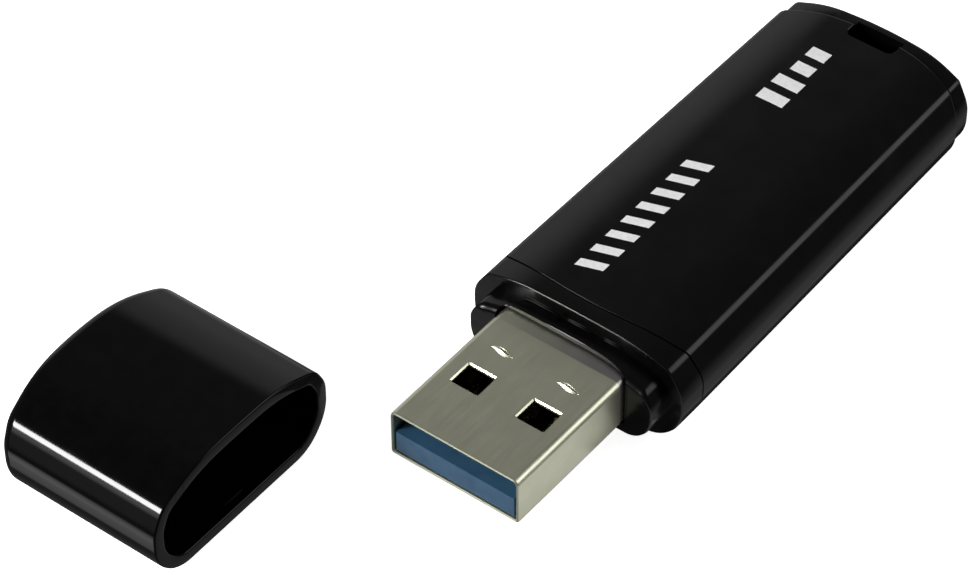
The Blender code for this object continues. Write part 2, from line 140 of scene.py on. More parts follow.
# The print on the sleeve's top.
INK_HEIGHT = 0.02 * MM
FIRST_ROW = Vector((-2.2 * MM, -15.6 * MM))
SECOND_ROW = Vector((-2.05 * MM, 8.0 * MM))

# Shading and mesh detail.
ARC_STEPS = 9           # steps along each arc of a cross-section
BEVEL_ANGLE = math.radians(40.0)
SHARP_ANGLE = math.radians(30.0)


# ---------------------------------------------------------------- outlines

def fillet_arcs(corners):
    """Turn a closed polygon of (x, z, radius) corners into (centre, radius, start, end) arcs."""
    arcs = []
    count = len(corners)
    for index, (x, z, radius) in enumerate(corners):
        here = Vector((x, z))
        before = (here - Vector(corners[index - 1][:2])).normalized()
        after = (Vector(corners[(index + 1) % count][:2]) - here).normalized()
        start = math.atan2(before.y, before.x) - math.pi / 2
        turn = math.atan2(before.cross(after), before.dot(after))
        inward = (after - before).normalized()
        centre = here + inward * (radius / math.cos(turn / 2))
        arcs.append((centre, radius, start, start + turn))
    return arcs


def section_arcs(crown, top_break, shoulder):
    """The cross-section of the housing or the cap: a barely crowned top, two facets and round sides."""
    break_x, break_drop = top_break
    right = [
        UNDERSIDE_CORNER,
        (HALF_WIDTH, *SIDE_LOW),
        (HALF_WIDTH, *SIDE_HIGH),
        shoulder,
        (break_x, crown - break_drop, TOP_BREAK_RADIUS),
    ]
    top = [(0.0, crown, 0.45 * break_x ** 2 / break_drop)]
    left = [(-x, z, radius) for x, z, radius in reversed(right)]
    return fillet_arcs(right + top + left)


HOUSING_ARCS = section_arcs(HOUSING_CROWN, HOUSING_BREAK, HOUSING_SHOULDER)
BOSS_ARCS = section_arcs(HOUSING_CROWN, HOUSING_BREAK, BOSS_SHOULDER)
CAP_ARCS = section_arcs(CAP_CROWN, CAP_BREAK, CAP_SHOULDER)
TOP_ARC = 5             # the place of the crowned top in a list of arcs


def spokes(arcs):
    """The centre, radius and outward normal of each point round an outline of arcs."""
    for centre, radius, start, end in arcs:
        for step in range(ARC_STEPS + 1):
            angle = start + (end - start) * step / ARC_STEPS
            yield centre, radius, Vector((math.cos(angle), math.sin(angle)))


def outline(arcs, inset):
    """Points of an outline of arcs, moved inwards by inset."""
    return [centre + normal * (radius - inset) for centre, radius, normal in spokes(arcs)]


def quarter(centre_inset, centre_offset, radius, start, end, steps=5):
    """(inset, offset) pairs along an arc of a profile, with angles in degrees."""
    pairs = []
    for step in range(steps + 1):
        angle = math.radians(start + (end - start) * step / steps)
        pairs.append((centre_inset + radius * math.cos(angle), centre_offset + radius * math.sin(angle)))
    return pairs


def rounded_rectangle(half_width, half_height, bottom_radius, top_radius, steps):
    """Points round a rectangle about the origin, with a radius for its lower and its upper corners."""
    points = []
    for side_u, side_v, start in ((1, -1, -90), (1, 1, 0), (-1, 1, 90), (-1, -1, 180)):
        radius = top_radius if side_v > 0 else bottom_radius
        for step in range(steps + 1):
            angle = math.radians(start + 90 * step / steps)
            points.append((side_u * (half_width - radius) + radius * math.cos(angle),
                           side_v * (half_height - radius) + radius * math.sin(angle)))
    return points


# ---------------------------------------------------------------- mesh tools

def new_object(name, work):
    """Turn a bmesh into an object in the scene."""
    mesh = bpy.data.meshes.new(name)
    work.to_mesh(mesh)
    work.free()
    obj = bpy.data.objects.new(name, mesh)
    bpy.context.scene.collection.objects.link(obj)
    return obj


def loft(name, rings, looped=False):
    """Skin rings that have the same number of points, looped round or closed by a fan at each end."""
    work = bmesh.new()
    rows = [[work.verts.new(point) for point in ring] for ring in rings]
    pairs = list(zip(rows, rows[1:]))
    if looped:
        pairs.append((rows[-1], rows[0]))
    for first, second in pairs:
        for index in range(len(first)):
            after = (index + 1) % len(first)
            work.faces.new((first[index], first[after], second[after], second[index]))
    if not looped:
        for row in (rows[0], rows[-1]):
            middle = work.verts.new(sum((vert.co for vert in row), Vector()) / len(row))
            for index in range(len(row)):
                work.faces.new((row[index], row[(index + 1) % len(row)], middle))
    bmesh.ops.remove_doubles(work, verts=work.verts, dist=1e-7)
    bmesh.ops.dissolve_degenerate(work, edges=work.edges, dist=1e-8)
    bmesh.ops.recalc_face_normals(work, faces=work.faces)
    return new_object(name, work)


def box(name, low, high):
    """An axis-aligned box between two corners."""
    low, high = Vector(low), Vector(high)
    work = bmesh.new()
    bmesh.ops.create_cube(work, size=1.0)
    bmesh.ops.transform(work, matrix=Matrix.Diagonal((*(high - low), 1.0)), verts=work.verts)
    bmesh.ops.translate(work, vec=(low + high) / 2, verts=work.verts)
    return new_object(name, work)


def combine(obj, tool, operation):
    """Boolean obj with a tool, apply it and remove the tool."""
    modifier = obj.modifiers.new("boolean", "BOOLEAN")
    modifier.operation = operation
    modifier.solver = "MANIFOLD"
    modifier.object = tool
    apply_modifiers(obj)
    bpy.data.objects.remove(tool, do_unlink=True)


def cut(obj, tool):
    """Take a tool's shape out of obj."""
    combine(obj, tool, "DIFFERENCE")


def join(obj, tool):
    """Add a tool's shape to obj."""
    combine(obj, tool, "UNION")


def round_edges(obj, width, segments=2):
    """Bevel the edges sharper than BEVEL_ANGLE."""
    modifier = obj.modifiers.new("round", "BEVEL")
    modifier.width = width
    modifier.segments = segments
    modifier.limit_method = "ANGLE"
    modifier.angle_limit = BEVEL_ANGLE
    apply_modifiers(obj)
    return obj


def apply_modifiers(obj):
    """Replace an object's mesh with its evaluated mesh."""
    bpy.context.view_layer.update()
    depsgraph = bpy.context.evaluated_depsgraph_get()
    mesh = bpy.data.meshes.new_from_object(obj.evaluated_get(depsgraph))
    obj.modifiers.clear()
    obj.data = mesh


def clean(obj):
    """Merge points that a cut left almost on top of each other, and drop faces without area."""
    work = bmesh.new()
    work.from_mesh(obj.data)
    bmesh.ops.remove_doubles(work, verts=work.verts, dist=0.003 * MM)
    bmesh.ops.dissolve_degenerate(work, edges=work.edges, dist=0.001 * MM)
    work.to_mesh(obj.data)
    work.free()


def smooth(obj):
    """Clean a mesh and shade it smooth, with edges sharper than SHARP_ANGLE and large faces kept."""
    clean(obj)
    obj.data.shade_smooth()
    obj.data.set_sharp_from_angle(angle=SHARP_ANGLE)
    modifier = obj.modifiers.new("flat", "WEIGHTED_NORMAL")
    modifier.keep_sharp = True
    apply_modifiers(obj)
    return obj


# ---------------------------------------------------------------- materials

class Nodes:
    """A small helper that adds and links the nodes of one procedural material."""

    def __init__(self, name, colour, roughness, metallic=0.0, specular=0.5):
        self.material = bpy.data.materials.new(name)
        self.material.use_nodes = True
        self.tree = self.material.node_tree
        self.shader = self.tree.nodes["Principled BSDF"]
        self.shader.inputs["Base Color"].default_value = (*colour, 1.0)
        self.shader.inputs["Roughness"].default_value = roughness
        self.shader.inputs["Metallic"].default_value = metallic
        self.shader.inputs["Specular IOR Level"].default_value = specular

    def add(self, kind, **values):
        """Add a node; a value goes to the input of that name, or else to the property."""
        node = self.tree.nodes.new(kind)
        for key, value in values.items():
            label = key.replace("_", " ").title()
            if label in node.inputs:
                node.inputs[label].default_value = value
            else:
                setattr(node, key, value)
        return node

    def link(self, source, output, target, socket):
        """Link two sockets by name or number."""
        self.tree.links.new(source.outputs[output], target.inputs[socket])

    def coordinates(self, stretch=(1.0, 1.0, 1.0), turn=0.0):
        """Object coordinates, stretched and turned about Z."""
        place = self.add("ShaderNodeTexCoord")
        mapping = self.add("ShaderNodeMapping")
        mapping.inputs["Scale"].default_value = stretch
        mapping.inputs["Rotation"].default_value = (0.0, 0.0, turn)
        self.link(place, "Object", mapping, "Vector")
        return mapping

    def noise(self, scale, detail=3.0, stretch=(1.0, 1.0, 1.0), turn=0.0):
        """A noise texture whose features are about 1/scale metres across."""
        texture = self.add("ShaderNodeTexNoise", scale=scale, detail=detail)
        self.link(self.coordinates(stretch, turn), "Vector", texture, "Vector")
        return texture

    def span(self, texture, output, low, high, to_low, to_high):
        """Map a texture's values from one range to another."""
        mapped = self.add("ShaderNodeMapRange")
        limits = {"From Min": low, "From Max": high, "To Min": to_low, "To Max": to_high}
        for label, value in limits.items():
            mapped.inputs[label].default_value = value
        self.link(texture, output, mapped, "Value")
        return mapped

    def vary_roughness(self, texture, low, high):
        """Drive the roughness between two values from a texture."""
        mapped = self.span(texture, 0, 0.3, 0.7, low, high)
        self.link(mapped, "Result", self.shader, "Roughness")

    def vary_colour(self, texture, first, second, low=0.35, high=0.65):
        """Drive the base colour between two colours from a texture."""
        ramp = self.add("ShaderNodeValToRGB")
        ramp.color_ramp.elements[0].position = low
        ramp.color_ramp.elements[0].color = (*first, 1.0)
        ramp.color_ramp.elements[1].position = high
        ramp.color_ramp.elements[1].color = (*second, 1.0)
        self.link(texture, 0, ramp, "Fac")
        self.link(ramp, "Color", self.shader, "Base Color")
        return ramp

    def ramp_along(self, axis, start, end, low=0.0, high=1.0):
        """A value that goes from low to high between two places on an axis."""
        place = self.add("ShaderNodeTexCoord")
        split = self.add("ShaderNodeSeparateXYZ")
        self.link(place, "Object", split, "Vector")
        return self.span(split, axis, start, end, low, high)

    def mix_colour(self, source, mask, colour):
        """Mix a colour over a ramp's colour by a mask, into the base colour."""
        mix = self.add("ShaderNodeMix", data_type="RGBA")
        mix.inputs[7].default_value = (*colour, 1.0)
        self.link(mask, 0, mix, 0)
        self.link(source, "Color", mix, 6)
        self.link(mix, 2, self.shader, "Base Color")

    def bump(self, texture, strength, distance, output=0, under=None):
        """Add a bump from a texture, on top of an earlier bump if one is given."""
        bump = self.add("ShaderNodeBump", strength=strength, distance=distance)
        self.link(texture, output, bump, "Height")
        if under:
            self.link(under, "Normal", bump, "Normal")
        self.link(bump, "Normal", self.shader, "Normal")
        return bump


def moulded_black(name, roughness, peel, specular):
    """Black moulded plastic: faint orange peel, fine grain, soft wear and a few hairline scratches."""
    nodes = Nodes(name, (0.0012, 0.0012, 0.0012), roughness, specular=specular)
    patches = nodes.noise(260, detail=2.0)
    nodes.vary_roughness(patches, roughness * 0.8, roughness * 1.3)
    nodes.vary_colour(nodes.noise(900, detail=4.0), (0.0009, 0.0009, 0.0009), (0.0015, 0.0015, 0.0015))
    wide = nodes.bump(nodes.noise(420, detail=1.0), peel, 0.02 * MM)
    scratches = nodes.noise(900, detail=2.0, stretch=(1.0, 0.04, 1.0), turn=0.5)
    lines = nodes.span(scratches, 0, 0.66, 0.72, 0.0, 1.0)
    scratched = nodes.bump(lines, 0.04, 0.01 * MM, output="Result", under=wide)
    nodes.bump(nodes.noise(9000, detail=2.0), 0.05, 0.004 * MM, under=scratched)
    return nodes.material


def plated_steel():
    """Nickel-plated sheet steel: a warm grey, with a fine drawn grain along the plug, and painted shade
    behind the crease next to the boss.
    """
    nodes = Nodes("plug_nickel", (0.70, 0.71, 0.55), 0.38, metallic=1.0)
    grain = nodes.noise(5200, detail=4.0, stretch=(1.0, 0.06, 1.0))
    nodes.vary_roughness(grain, 0.34, 0.42)
    plain = nodes.vary_colour(nodes.noise(350, detail=3.0), (0.68, 0.69, 0.533), (0.72, 0.73, 0.567))
    # Painted shade: a darker band on the top behind the crease, stronger towards +X, stands in for the dark
    # boss reflected in the metal.
    painted_boss_shade = nodes.add("ShaderNodeMath", operation="MULTIPLY")
    nodes.link(nodes.ramp_along("Y", CREASE_Y, CREASE_Y + 0.1 * MM), "Result", painted_boss_shade, 0)
    nodes.link(nodes.ramp_along("X", -5.0 * MM, 3.0 * MM, 0.15, 1.0), "Result", painted_boss_shade, 1)
    nodes.mix_colour(plain, painted_boss_shade, (0.38, 0.37, 0.36))
    soft = nodes.bump(nodes.noise(600, detail=1.0), 0.04, 0.02 * MM)
    nodes.bump(grain, 0.05, 0.004 * MM, under=soft)
    return nodes.material


def blue_plastic():
    """The blue moulded insulator, with flow marks, a fine grain and painted shade over its back part inside
    the shell.
    """
    nodes = Nodes("plug_blue_plastic", (0.025, 0.072, 0.132), 0.35, specular=0.3)
    flow = nodes.vary_colour(nodes.noise(700, detail=4.0), (0.022, 0.066, 0.122), (0.028, 0.079, 0.143))
    # Painted shade: the insulator goes near black from just in front of the windows backwards, where the
    # inside of the shell is in shade.
    painted_inner_shade = nodes.ramp_along("Y", INNER_SHADE_Y, INNER_SHADE_Y + 0.1 * MM)
    nodes.mix_colour(flow, painted_inner_shade, (0.004, 0.004, 0.0035))
    nodes.vary_roughness(nodes.noise(1500), 0.3, 0.45)
    nodes.bump(nodes.noise(6000, detail=3.0), 0.1, 0.006 * MM)
    return nodes.material


def gold_plating():
    """Gold-plated strip with drawn lines and dull wear patches."""
    nodes = Nodes("contact_gold_plate", (0.90, 0.62, 0.22), 0.25, metallic=1.0)
    nodes.vary_colour(nodes.noise(1800, detail=4.0), (0.80, 0.52, 0.17), (0.95, 0.68, 0.27))
    drawn = nodes.noise(9000, detail=2.0, stretch=(1.0, 0.08, 1.0))
    nodes.vary_roughness(drawn, 0.18, 0.34)
    nodes.bump(drawn, 0.08, 0.004 * MM)
    return nodes.material


def spring_strip_painted_shade():
    """Spring strip metal whose near-black colour is painted shade inside the plug, with drawn lines."""
    # Painted shade: the near-black metal colours stand in for the shade inside the plug, not for a dull
    # alloy.
    nodes = Nodes("spring_strip_painted_shade", (0.025, 0.02, 0.012), 0.5, metallic=1.0)
    drawn = nodes.noise(9000, detail=2.0, stretch=(1.0, 0.08, 1.0))
    nodes.vary_colour(drawn, (0.02, 0.016, 0.01), (0.035, 0.028, 0.016))
    nodes.vary_roughness(nodes.noise(1800, detail=4.0), 0.42, 0.58)
    nodes.bump(drawn, 0.08, 0.004 * MM)
    return nodes.material


def solder_mask():
    """Green solder mask over glass fibre, with raised traces and the weave underneath."""
    nodes = Nodes("board_solder_mask", (0.01, 0.12, 0.045), 0.3)
    traces = nodes.add("ShaderNodeTexBrick", scale=900.0, mortar_size=0.035, brick_width=1.6,
                       row_height=0.35)
    traces.inputs["Color1"].default_value = (0.012, 0.17, 0.06, 1.0)
    traces.inputs["Color2"].default_value = (0.014, 0.20, 0.075, 1.0)
    traces.inputs["Mortar"].default_value = (0.004, 0.07, 0.028, 1.0)
    nodes.link(nodes.coordinates((1.0, 1.0, 1.0), 0.0), "Vector", traces, "Vector")
    nodes.link(traces, "Color", nodes.shader, "Base Color")
    nodes.vary_roughness(nodes.noise(2200), 0.22, 0.4)
    weave = nodes.bump(nodes.noise(5000, detail=1.0), 0.08, 0.01 * MM)
    nodes.bump(traces, 0.25, 0.02 * MM, output="Fac", under=weave)
    return nodes.material


def mould_compound():
    """The matt black epoxy of a chip package, with fine filler specks."""
    nodes = Nodes("chip_epoxy", (0.018, 0.018, 0.02), 0.6)
    specks = nodes.noise(9000, detail=5.0)
    nodes.vary_colour(specks, (0.012, 0.012, 0.013), (0.045, 0.045, 0.048), 0.45, 0.75)
    nodes.vary_roughness(nodes.noise(3000), 0.5, 0.72)
    nodes.bump(nodes.noise(12000, detail=4.0), 0.2, 0.006 * MM)
    return nodes.material


def tin_can():
    """The drawn metal lid of the crystal, with a brushed face."""
    nodes = Nodes("crystal_lid", (0.74, 0.74, 0.72), 0.3, metallic=1.0)
    brushed = nodes.noise(12000, detail=2.0, stretch=(0.05, 1.0, 1.0))
    nodes.vary_roughness(brushed, 0.22, 0.4)
    nodes.vary_colour(nodes.noise(1500), (0.68, 0.68, 0.66), (0.78, 0.78, 0.76))
    nodes.bump(brushed, 0.08, 0.004 * MM)
    return nodes.material


def end_metal(nodes, share):
    """A 0 to 1 mask that is 1 over the two Y ends of a piece, each a share of its length."""
    place = nodes.add("ShaderNodeTexCoord")
    split = nodes.add("ShaderNodeSeparateXYZ")
    nodes.link(place, "Generated", split, "Vector")
    from_middle = nodes.add("ShaderNodeMath", operation="SUBTRACT")
    nodes.link(split, "Y", from_middle, 0)
    from_middle.inputs[1].default_value = 0.5
    distance = nodes.add("ShaderNodeMath", operation="ABSOLUTE")
    nodes.link(from_middle, 0, distance, 0)
    return nodes.span(distance, 0, 0.5 - share - 0.01, 0.5 - share + 0.01, 0.0, 1.0)


def ceramic_chip(name, body_low, body_high, share):
    """A ceramic passive with tinned ends."""
    nodes = Nodes(name, body_low, 0.5)
    body = nodes.vary_colour(nodes.noise(4000, detail=4.0), body_low, body_high)
    ends = end_metal(nodes, share)
    nodes.mix_colour(body, ends, (0.70, 0.69, 0.67))
    nodes.link(ends, "Result", nodes.shader, "Metallic")
    nodes.vary_roughness(nodes.noise(2500), 0.35, 0.55)
    nodes.bump(nodes.noise(9000, detail=3.0), 0.15, 0.006 * MM)
    return nodes.material


def white_ink():
    """Pad-printed white ink, with a faint screen texture."""
    nodes = Nodes("white_print", (0.85, 0.85, 0.85), 0.5)
    nodes.vary_colour(nodes.noise(3500, detail=4.0), (0.80, 0.80, 0.80), (0.90, 0.90, 0.90))
    nodes.bump(nodes.noise(8000), 0.1, 0.004 * MM)
    return nodes.material


# ---------------------------------------------------------------- pieces

def arched(x, middle_y, sag):
    """The Y of an arched end at x, from its Y on the centre line."""
    return middle_y - sag * (x / HALF_WIDTH) ** 2


def drive_ring(inset, y, sag=0.0, scale=1.0, arcs=HOUSING_ARCS):
    """A ring of the housing at y on the centre line, flat or with an arched sag."""
    ring = []
    for x, z in outline(arcs, inset):
        x, z = x * scale, PLUG_Z + (z - PLUG_Z) * scale
        narrow = 1.0 - TAPER_PER_M * max(0.0, y - SEAM_Y)
        ring.append((x * narrow, arched(x * narrow, y, sag), z))
    return ring


def make_sleeve():
    """The outer tube, with small radii on its lips and a strap notch in its arched end."""
    lip, end_lip, wall = SEAM_RADIUS, 0.2 * MM, SLEEVE_WALL
    front, back = SEAM_MIDDLE_Y + SEAM_GAP, SLEEVE_END_Y
    front_lip = quarter(wall - lip, front + lip, lip, 0, -90)
    front_lip += quarter(lip, front + lip, lip, -90, -180)
    back_lip = quarter(end_lip, back - end_lip, end_lip, 180, 90)
    back_lip += quarter(wall - lip, back - lip, lip, 90, 0)
    rings = [drive_ring(inset, y, SEAM_SAG) for inset, y in front_lip]
    rings += [drive_ring(inset, y, SLEEVE_SAG) for inset, y in back_lip]
    sleeve = loft("outer_sleeve_shell", rings, looped=True)
    cut(sleeve, strap_cutter("notch", SLEEVE_END_Y + OVERRUN))
    return smooth(sleeve)


def strap_cutter(name, back_y):
    """The slot's cutter, flared where it leaves the top and the underside so that its edges look soft."""
    rings = []
    levels = [(-OVERRUN, CUT_FLARE), (-0.02 * MM, CUT_FLARE), (CUT_FLARE, 0.0),
              (HOUSING_CROWN - CUT_FLARE - 0.02 * MM, 0.0), (HOUSING_CROWN + 0.01 * MM, CUT_FLARE),
              (TALL, CUT_FLARE)]
    for z, grow in levels:
        half, front = SLOT_WIDTH / 2 + grow, SLOT_FRONT_Y - grow
        ring = [(SLOT_X - half, back_y + grow, z)]
        for side, start in ((-1, 180), (1, 270)):
            for step in range(9):
                angle = math.radians(start + 90 * step / 8)
                ring.append((SLOT_X + side * (half - SLOT_RADIUS) + SLOT_RADIUS * math.cos(angle),
                             front + SLOT_RADIUS + SLOT_RADIUS * math.sin(angle), z))
        ring.append((SLOT_X + half, back_y + grow, z))
        rings.append(ring)
    return loft(name, rings)


def make_collar():
    """The front ring and its boss for the cap, with a pocket, a scoop, a notch and three short ribs."""
    rings = [boss_edge_ring(step / 6) for step in range(7)]
    rings.append(drive_ring(BOSS_INSET, COLLAR_FRONT_Y, arcs=BOSS_ARCS))
    front_edge = quarter(COLLAR_EDGE, COLLAR_FRONT_Y + COLLAR_EDGE, COLLAR_EDGE, -90, -180)
    seam_edge = quarter(SEAM_RADIUS, SEAM_MIDDLE_Y - SEAM_RADIUS, SEAM_RADIUS, 180, 90)
    rings += [drive_ring(inset, y) for inset, y in front_edge]
    rings += [drive_ring(inset, y, SEAM_SAG) for inset, y in seam_edge]
    rings.append(drive_ring(SPIGOT_INSET, SEAM_MIDDLE_Y, SEAM_SAG))
    rings.append(drive_ring(SPIGOT_INSET, COLLAR_HIGH.y))
    collar = loft("front_collar_ring", rings)
    cut(collar, pocket_cutter())
    cut(collar, round_edges(boss_box("notch", NOTCH_SPAN, -0.5 * MM, -0.12 * MM, OVERRUN), 0.06 * MM))
    for span in RIB_SPANS:
        join(collar, round_edges(boss_box("rib", span, -0.1 * MM, 0.3 * MM, 0.07 * MM), 0.03 * MM))
    return smooth(collar)


def boss_box(name, span, front, back, rise):
    """A box at the root of the boss's top: its X span, and its Y and Z places from that corner."""
    return box(name, (span[0], COLLAR_FRONT_Y + front, BOSS_TOP_Z - 0.3 * MM),
               (span[1], COLLAR_FRONT_Y + back, BOSS_TOP_Z + rise))


def pocket_cutter():
    """The plug's pocket through the collar, together with the scoop above it."""
    clearance = Vector((POCKET_CLEARANCE, 0.0, POCKET_CLEARANCE))
    low = Vector((SHELL_LOW.x, BOSS_FRONT_Y - OVERRUN, SHELL_LOW.z)) - clearance
    high = Vector((SHELL_HIGH.x, COLLAR_HIGH.y + OVERRUN, SHELL_HIGH.z)) + clearance
    pocket = round_edges(box("pocket", low, high), 0.3 * MM, 3)
    join(pocket, scoop_cutter())
    return pocket


def boss_edge_ring(share):
    """A ring of the boss's front edge, whose rounding grows from the sides to the top."""
    turn = 0.5 * math.pi * share
    ring = []
    for centre, radius, normal in spokes(BOSS_ARCS):
        soft = BOSS_SIDE_RADIUS + (BOSS_TOP_RADIUS - BOSS_SIDE_RADIUS) * max(0.0, normal.y) ** 2
        x, z = centre + normal * (radius - BOSS_INSET - soft * (1 - math.sin(turn)))
        ring.append((x, BOSS_FRONT_Y + soft * (1 - math.cos(turn)), z))
    return ring


def scoop_cutter():
    """The recess above the plug: almost square in plan on the -X side, swept to the corner on the +X side."""
    soft = 0.05 * MM
    plan = [(-SCOOP_SIDE, -2 * OVERRUN), (SCOOP_SIDE, -2 * OVERRUN)]
    for step in range(9):
        swing = math.radians(90 * step / 8)
        plan.append((SCOOP_SIDE - SCOOP_SWEEP * (1 - math.cos(swing)), SCOOP_DEPTH * math.sin(swing)))
    for step in range(5):
        swing = math.radians(90 * step / 4)
        plan.append((-SCOOP_SIDE + SCOOP_CORNER * (1 - math.sin(swing)),
                     SCOOP_DEPTH - SCOOP_CORNER * (1 - math.cos(swing))))
    rings = []
    levels = [(PLUG_Z, 0.0), (BOSS_TOP_Z - soft, 0.0), (BOSS_TOP_Z + 0.01 * MM, soft), (TALL, soft)]
    for z, grow in levels:
        wider, deeper = 1 + grow / SCOOP_SIDE, 1 + grow / SCOOP_DEPTH
        rings.append([(x * wider, BOSS_FRONT_Y + y * deeper, z) for x, y in plan])
    return loft("scoop", rings)


def make_tail():
    """The end piece: an arched flange with round edges, a spigot and the strap bar."""
    front, back, corner = SLEEVE_END_Y + 0.1 * MM, TAIL_END_Y, 0.1 * MM
    back_inset = TAIL_INSET + TAIL_EDGE
    front_edge = quarter(TAIL_INSET + corner, front + corner, corner, -90, -180)
    back_edge = quarter(back_inset, back - TAIL_EDGE, TAIL_EDGE, 180, 90, steps=7)
    rings = [drive_ring(SPIGOT_INSET, TAIL_LOW.y), drive_ring(SPIGOT_INSET, front, SLEEVE_SAG)]
    rings += [drive_ring(inset, y, SLEEVE_SAG) for inset, y in front_edge]
    rings += [drive_ring(inset, y, TAIL_SAG) for inset, y in back_edge]
    rings += [drive_ring(back_inset, back, TAIL_SAG, scale) for scale in (0.8, 0.55, 0.3)]
    tail = loft("tail_end_piece", rings)
    cut(tail, strap_cutter("slot", SLOT_BACK_Y))
    return smooth(tail)


def cap_ring(inset, along=None, end=None, scale=1.0):
    """A ring of the cap at a distance from its mouth, or at an offset from its arched closed end."""
    ring = []
    middle_z = CAP_CROWN / 2
    for across, z in outline(CAP_ARCS, inset):
        across, z = across * scale, middle_z + (z - middle_z) * scale
        depth = along if end is None else arched(across, end, CAP_SAG)
        ring.append((CAP_HIGH.x - depth, CAP_AXIS_Y + across, z))
    return ring


def make_cap():
    """The pull-off cap: a closed, arched end, soft lips at the mouth and a snap rib inside."""
    inner_end, inner_inset = CAP_LENGTH - CAP_END_WALL, CAP_WALL + CAP_INNER_RADIUS
    outer_round = quarter(CAP_END_RADIUS, CAP_LENGTH - CAP_END_RADIUS, CAP_END_RADIUS, 90, 180, steps=12)
    mouth = quarter(CAP_LIP, CAP_LIP, CAP_LIP, 180, 270)
    mouth += quarter(CAP_WALL - CAP_LIP, CAP_LIP, CAP_LIP, 270, 360)
    inner_round = quarter(inner_inset, inner_end - CAP_INNER_RADIUS, CAP_INNER_RADIUS, 180, 90)
    rings = [cap_ring(CAP_END_RADIUS, end=CAP_LENGTH, scale=scale) for scale in (0.12, 0.35, 0.6, 0.85)]
    rings += [cap_ring(inset, end=depth) for inset, depth in outer_round]
    rings += [cap_ring(inset, along=depth) for inset, depth in mouth]
    rings += [cap_ring(inset, end=depth) for inset, depth in inner_round]
    rings += [cap_ring(inner_inset, end=inner_end, scale=scale) for scale in (0.8, 0.5, 0.2)]
    cap = loft("cap_shell", rings)
    snap = box("snap", (CAP_HIGH.x - 1.15 * MM, CAP_AXIS_Y - 1.6 * MM, CAP_WALL - 0.3 * MM),
               (CAP_HIGH.x - 0.75 * MM, CAP_AXIS_Y + 0.7 * MM, CAP_WALL + 0.18 * MM))
    join(cap, round_edges(snap, 0.08 * MM))
    return smooth(cap)


def shell_ring(inset, y):
    """A ring of the plug shell: a rounded rectangle moved inwards by inset."""
    half = (SHELL_HIGH.x - SHELL_LOW.x) / 2 - inset
    rise = (SHELL_HIGH.z - SHELL_LOW.z) / 2 - inset
    bottom, top = (max(radius - inset, 0.08 * MM) for radius in (SHELL_BOTTOM_RADIUS, SHELL_TOP_RADIUS))
    return [(x, y, PLUG_Z + z) for x, z in rounded_rectangle(half, rise, bottom, top, 6)]


def window_cutter(x, y):
    """A window's cutter, flared at the top and the underside so that the cut edge is bevelled."""
    width, length = WINDOW_SIZE
    rings = []
    levels = [(SHELL_LOW.z - OVERRUN, CUT_FLARE), (SHELL_LOW.z - 0.001 * MM, CUT_FLARE),
              (SHELL_LOW.z + CUT_FLARE, 0.0), (SHELL_HIGH.z - CUT_FLARE, 0.0),
              (SHELL_HIGH.z + 0.001 * MM, CUT_FLARE), (SHELL_HIGH.z + OVERRUN, CUT_FLARE)]
    for z, grow in levels:
        plan = rounded_rectangle(width / 2 + grow, length / 2 + grow, WINDOW_RADIUS, WINDOW_RADIUS, 3)
        rings.append([(x + across, y + along, z) for across, along in plan])
    return loft("window", rings)


def wedge(name, x, y, reach, rise):
    """A pointed wedge at the shell's top, which slopes from a slanting crest to a rim before or behind it."""
    top, root = SHELL_HIGH.z, 0.9 * rise
    rings = []
    for step in range(13):
        along = -1.0 + step / 6
        slim = max(0.03, 1.0 - along ** 2)
        crest = y - DIMPLE_SLANT * along * slim
        rim = crest + reach * slim
        side = [(crest, top + rise * slim), (rim, top - 0.1 * root),
                (rim, top - root), (crest, top - root)]
        rings.append([(x + along * DIMPLE_HALF_LENGTH, place, height) for place, height in side])
    return loft(name, rings)


def press_dimple(shell, x, y):
    """A lanced dimple in the shell's top: a raised lip in front of a sloping groove."""
    join(shell, wedge("lip", x, y, -0.3 * MM, 0.195 * MM))
    cut(shell, wedge("groove", x, y - 0.03 * MM, 0.42 * MM, -0.275 * MM))


def make_shell():
    """The folded sheet-metal shell of the plug, with its windows, its dimples and the seam underneath."""
    lip, wall = SHELL_LIP, SHELL_WALL
    front, back = SHELL_LOW.y, SHELL_HIGH.y
    profile = quarter(wall - lip, front + lip, lip, 0, -90, steps=2)
    profile += quarter(lip, front + lip, lip, -90, -180, steps=2)
    profile += [(0.0, CREASE_Y - 0.05 * MM), (CREASE_DEPTH, CREASE_Y), (CREASE_DEPTH, CREASE_Y + 0.1 * MM),
                (0.0, CREASE_Y + 1.6 * MM), (0.0, back), (wall, back)]
    shell = loft("plug_shell_sheet", [shell_ring(inset, y) for inset, y in profile], looped=True)
    for side in (-1, 1):
        cut(shell, window_cutter(side * WINDOW_X, WINDOW_Y))
        press_dimple(shell, side * DIMPLE_X, DIMPLE_Y)
    cut(shell, box("seam", (-0.04 * MM, front - OVERRUN, SHELL_LOW.z - OVERRUN),
                   (0.04 * MM, back + OVERRUN, SHELL_LOW.z + SHELL_WALL / 2)))
    return smooth(shell)


